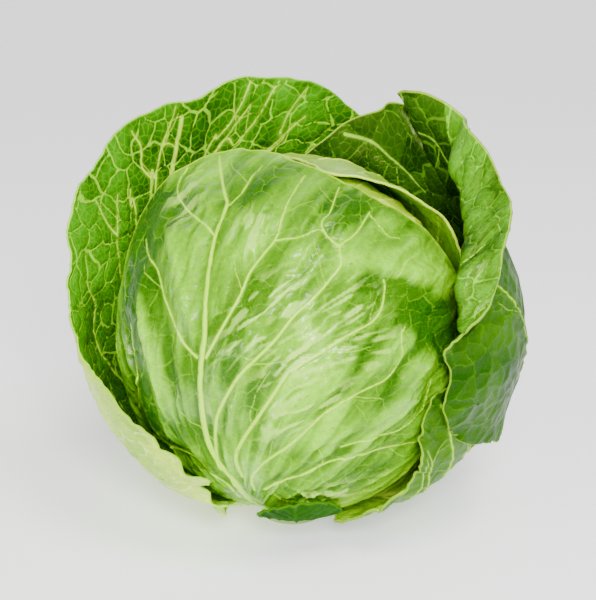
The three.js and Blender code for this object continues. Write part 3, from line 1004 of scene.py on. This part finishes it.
# each skin's deep green, bright green, veins, net and margin, and how they are laid on
SKINS = dict(
    front=([(6, 72, 0), (134, 208, 0), (180, 238, 20), (140, 206, 0), (190, 236, 10)],
           dict(highlight_share=0.46, net_share=0.25, mottle=0.1, coat=0.8, cells=0.06, base_pale=0.85,
                base_from=0.9, rim_width=0.9, rim_share=0.85)),
    pale=([(70, 134, 0), (160, 210, 10), (200, 230, 70), (174, 216, 30), (214, 238, 80)],
          dict(net_share=0.3, rim_width=0.9, rim_share=0.7)),
    left_inner=([(0, 62, 0), (76, 160, 0), (200, 240, 50), (166, 228, 20), (60, 130, 0)],
                dict(net_share=0.75, mottle=0.3, coat=0.3, cells=0.2, rim_width=0.5, rim_share=0.4)),
    left_outer=([(76, 150, 4), (198, 236, 60), (230, 246, 150), (214, 240, 110), (150, 206, 20)],
                dict(net_share=0.7, mottle=0.7, coat=0.5, base_pale=0.15, rim_width=0.5)),
    right_inner=([(0, 38, 0), (88, 156, 16), (176, 232, 60), (140, 214, 30), (190, 226, 50)],
                 dict(net_share=0.8, mottle=0.12, coat=0.15, net_dark=0.66, cells=0.15,
                      rim_width=0.45, rim_share=0.5)),
    right_outer=([(10, 62, 0), (80, 134, 0), (150, 202, 24), (108, 174, 6), (170, 214, 40)],
                 dict(net_share=0.12, coat=0.1, cells=0.15, base_pale=0.5, base_from=1.0,
                      rim_width=0.5, rim_share=0.4, specular=0.12)),
    # the low front leaf's greens are kept deep as painted shade, for it lies in shadow under the head
    low=([(0, 40, 0), (40, 96, 0), (34, 88, 0), (24, 76, 0), (70, 130, 0)],
         dict(net_share=0.3, coat=0.0, rim_width=0.8, specular=0.02)),
    heart=([(170, 220, 0), (224, 246, 20), (230, 246, 80), (220, 240, 40), (232, 246, 90)],
           dict(net_share=0.2, mottle=0.5, coat=0.5, cells=0.1, rim_share=0.7)),
)


def right_shade_and_light(x, phi):
    """The right outer leaf is dark within, partly its own deep green and partly painted shade, and painted
    bright on its folded margin, which turns out to the light.
    """
    folded = around(OUTER_RIGHT.fold, phi) > 25
    return np.where(folded, 1.15 * smooth(-0.04, 0.06, x - around(OUTER_RIGHT.fold_from, phi)), 0) - 0.8


def left_shade_and_light(x, phi):
    """The left outer leaf is painted brighter towards its left side, which faces -x, than at its top, as
    the light falls on it, and painted darker near its middle, in the shade beside the front leaf.
    """
    bearing = around([1, 1, 1, 1, 0.5, -0.3, -1, -1.2, -0.9, -0.2, 0.5, 1], phi)
    return 0.3 * bearing * smooth(0.3, 0.8, x) - 0.4 * (1 - smooth(0.3, 0.75, x))


def build_leaves():
    """All the leaves. The skin of the heart's leaves is returned, for its core."""
    skins = {key: leaf_material(key + "_skin", greens, **how) for key, (greens, how) in SKINS.items()}
    make_leaf(FRONT, [skins["front"], skins["pale"]], cells=305, inner_cells=61,
              veins=front_veins(), net_size=10.5, seed=2, relief=front_relief)

    # the shares of a midrib at which side veins leave it
    shares = [0.1, 0.2, 0.31, 0.43, 0.55, 0.67, 0.79]
    make_leaf(
        OUTER_LEFT, [skins["left_outer"], skins["left_inner"]], cells=210,
        veins=plain_veins(OUTER_LEFT, rib_half=5.5, lean=52, seed=31, places_left=shares,
                          places_right=[0.06], every=65, seen=OUTER_LEFT_VEINS),
        net_size=10.5, seed=5,
        relief=blistered(OUTER_LEFT, depth=1.3, seed=41, shade_and_light_at=left_shade_and_light, patchy=0.5))
    make_leaf(
        OUTER_RIGHT, [skins["right_outer"], skins["right_inner"]], cells=210,
        veins=plain_veins(OUTER_RIGHT, rib_half=5.5, lean=52, seed=33, places_left=shares[:3],
                          places_right=shares[:5], every=45, seen=OUTER_RIGHT_VEINS),
        net_size=10.5, seed=6,
        relief=blistered(OUTER_RIGHT, depth=1.4, seed=43, shade_and_light_at=right_shade_and_light, patchy=0.5))

    for leaf, rib_half, seed, skin, slot, depth, net_depth, cells, places in (
            (RIGHT, 4.5, 35, "pale", "leaf_pale", 0.7, 0.3, 150, shares),
            (LOW_RIGHT, 3.5, 37, "right_outer", "leaf_pale", 1.2, 0.6, 150, shares[1:]),
            (LOW_FRONT, 2.0, 39, "low", "leaf_dark", 0.6, 0.4, 60, shares[2:])):
        make_leaf(leaf, [skins[skin], skins["pale"]], cells=cells,
                  veins=plain_veins(leaf, rib_half, 49, seed, places_left=places, places_right=places),
                  net_size=9, seed=seed, relief=blistered(leaf, depth, seed + 10, net_depth))

    for leaf, seed in ((WRAPPED_BACK, 51), (WRAPPED_LEFT, 53)):
        make_leaf(leaf, [skins["heart"], skins["heart"]], cells=100, inner_cells=50,
                  veins=plain_veins(leaf, 4, 48, seed, places_left=shares, places_right=shares),
                  net_size=11, seed=10, relief=blistered(leaf, 0.6, seed, net_depth=0.25), node="heart")
    return skins["heart"]


# ---- the core and the stem

def turned_faces(first, last, turns):
    """Triangles between rings of points, each ring joined to the next one up."""
    faces = []
    for i in range(first, last):
        for j in range(turns):
            k = (j + 1) % turns
            p, q, u, v = i * turns + j, i * turns + k, (i + 1) * turns + k, (i + 1) * turns + j
            faces += [(p, q, u), (p, u, v)]
    return faces


def build_core(skin):
    """The ball of the heart, with the folds of the leaves inside it showing as low ridges."""
    rings, turns = 60, 96
    ridges, twist, ridge_height = 3, 1.4, 1.2
    far_off = 50.0              # no vein and no margin is near
    lat = np.linspace(-np.pi / 2, np.pi / 2, rings + 1)
    lon = np.linspace(0, 2 * np.pi, turns, endpoint=False)
    a, b = np.meshgrid(lat, lon, indexing="ij")
    fold = (b / (2 * np.pi) * ridges + a / np.pi * twist) % 1
    r = HEART_R - 0.4 - ridge_height * fold ** 3 + 0.4 * noise(a * 6, b * 4, 61) * np.cos(a)
    r = np.where(np.abs(a) > 1.5, HEART_R - 0.6, r)     # the same all round the two poles
    points = np.stack([r * np.cos(a) * np.cos(b), r * np.cos(a) * np.sin(b), r * np.sin(a)], -1)
    points = points.reshape(-1, 3) + HEAD
    faces = np.array(turned_faces(0, rings, turns))
    marks = dict(tone=0.5, gloss=0.2, rib=far_off, side=far_off, small=far_off, margin=far_off, net=5.0,
                 cell=0.0, base=0.0)
    marks = {key: np.full(len(points), value) for key, value in marks.items()}
    uv = np.stack([b.ravel() / 7 + 0.5, a.ravel() / 4 + 0.5], 1)
    make_piece("heart_core", "heart", points, faces, np.zeros(len(faces)), [skin], marks, uv)


# radius and height of the stem's outline, from the middle of its cut to its top inside the core
STEM_OUTLINE = [
    (0, 0), (3, 0.05), (6, 0), (9, 0.05), (11.5, 0), (STEM_CUT_R, 0), (14.1, 0.35), (14.5, 0.9), (14.8, 2),
    (15.2, 4), (15.4, 6), (STEM_R, 9), (15.4, 12), (15.3, 16), (15.0, 22), (14.6, 30)]


def build_stem():
    """The cut stem: a flat fibrous face, and the scars of picked leaves round its side."""
    turns = 120
    scars, scar_depth = 3, 0.5
    turn = np.linspace(0, 2 * np.pi, turns, endpoint=False)
    rows, radius, skin = [], [], []
    for r, z in STEM_OUTLINE:
        wobble = 0.35 * noise(turn * 3.2, z / 5, 71) + 0.25 * noise(turn * 12, z / 9, 72)
        scar = scar_depth * np.maximum(0, np.sin(scars * turn + z * 0.55)) ** 6 * smooth(2, 6, z)
        ring = r + (wobble - scar) * smooth(5, 14, r) * smooth(0.2, 3, z)
        rows.append(np.stack([ring * np.cos(turn), ring * np.sin(turn), np.full(turns, z)], 1))
        radius.append(np.full(turns, r))
        skin.append(np.full(turns, min(1, z / 1.2)))
    rings = len(STEM_OUTLINE) - 1
    top = turns * len(STEM_OUTLINE)
    points = np.vstack(rows + [[0, 0, STEM_OUTLINE[-1][1]]])
    faces = turned_faces(1, rings, turns)
    for j in range(turns):
        faces.append((0, turns + (j + 1) % turns, turns + j))
    for j in range(turns):
        faces.append((rings * turns + j, rings * turns + (j + 1) % turns, top))
    faces = np.array(faces)
    marks = dict(radius=np.append(np.concatenate(radius), 0), skin=np.append(np.concatenate(skin), 1))
    uv = points[:, :2] / 60 + 0.5
    material = stem_material()
    make_piece("stem_cut", "heart", points, faces, np.zeros(len(faces)), [material], marks, uv)


# ---- camera, light and floor, in metres

# place, size and watts of each soft light
LIGHTS = dict(
    key=((0.15, -1.5, 0.95), 0.5, 48),
    upper_left=((-0.8, -1.0, 1.3), 0.9, 9),
    left_strip=((-1.3, -0.6, 0.15), 0.35, 8),
    top=((0.45, -0.5, 1.4), 0.6, 20),
)
WORLD_LIGHT = 0.12
FLOOR_HALF = 3.0            # half width of the floor
FLOOR_BACK = 0.9            # where it starts to curve up behind the head
FLOOR_CURVE = 1.2           # radius of that curve
FLOOR_TOP = 3.2             # height at which the backdrop ends
FLOOR_GLOW = 0.65           # strength of its own light, which keeps it pale


def place_looking(name, data, place, way):
    """Puts a camera or a light at a place, pointed along a way."""
    thing = bpy.data.objects.new(name, data)
    thing.location = place
    thing.rotation_mode = "QUATERNION"
    thing.rotation_quaternion = way.to_track_quat("-Z", "Y")
    bpy.context.scene.collection.objects.link(thing)
    return thing


def set_camera():
    """A long lens, from the picture's side and height."""
    data = bpy.data.cameras.new("camera")
    data.sensor_width = SENSOR
    data.lens = SENSOR * DISTANCE / (max(PICTURE) * PIXEL)
    data.clip_start, data.clip_end = 0.05, 20
    bpy.context.scene.camera = place_looking("camera", data, Vector(EYE * MM), Vector(VIEW))


def build_studio():
    """Soft lights round the head, on a pale floor that curves up behind it."""
    world = bpy.data.worlds.new("studio")
    world.use_nodes = True
    background = world.node_tree.nodes["Background"]
    background.inputs["Color"].default_value = (1, 1, 1, 1)
    background.inputs["Strength"].default_value = WORLD_LIGHT
    bpy.context.scene.world = world
    for name, (place, size, watts) in LIGHTS.items():
        data = bpy.data.lights.new(name, "AREA")
        data.size, data.energy = size, watts
        place_looking(name, data, Vector(place), Vector(HEAD * MM) - Vector(place))
    run = [(-FLOOR_HALF, 0)]
    for a in np.linspace(0, math.pi / 2, 17):
        run.append((FLOOR_BACK + FLOOR_CURVE * math.sin(a), FLOOR_CURVE - FLOOR_CURVE * math.cos(a)))
    run.append((FLOOR_BACK + FLOOR_CURVE, FLOOR_TOP))
    points = [(x, y, z) for y, z in run for x in (-FLOOR_HALF, FLOOR_HALF)]
    faces = [(2 * k, 2 * k + 1, 2 * k + 3, 2 * k + 2) for k in range(len(run) - 1)]
    mesh = bpy.data.meshes.new("floor")
    mesh.from_pydata(points, [], faces, shade_flat=False)
    sh = Shader("floor")
    sh.dress({"Base Color": sh.mix(sh.noise(3, 2), (0.86, 0.86, 0.86, 1), (0.88, 0.88, 0.88, 1)),
              "Roughness": 0.9, "Emission Color": (1, 1, 1, 1), "Emission Strength": FLOOR_GLOW})
    mesh.materials.append(sh.material)
    floor = bpy.data.objects.new("floor", mesh)
    bpy.context.scene.collection.objects.link(floor)


set_camera()
heart_skin = build_leaves()
build_core(heart_skin)
build_stem()
build_studio()
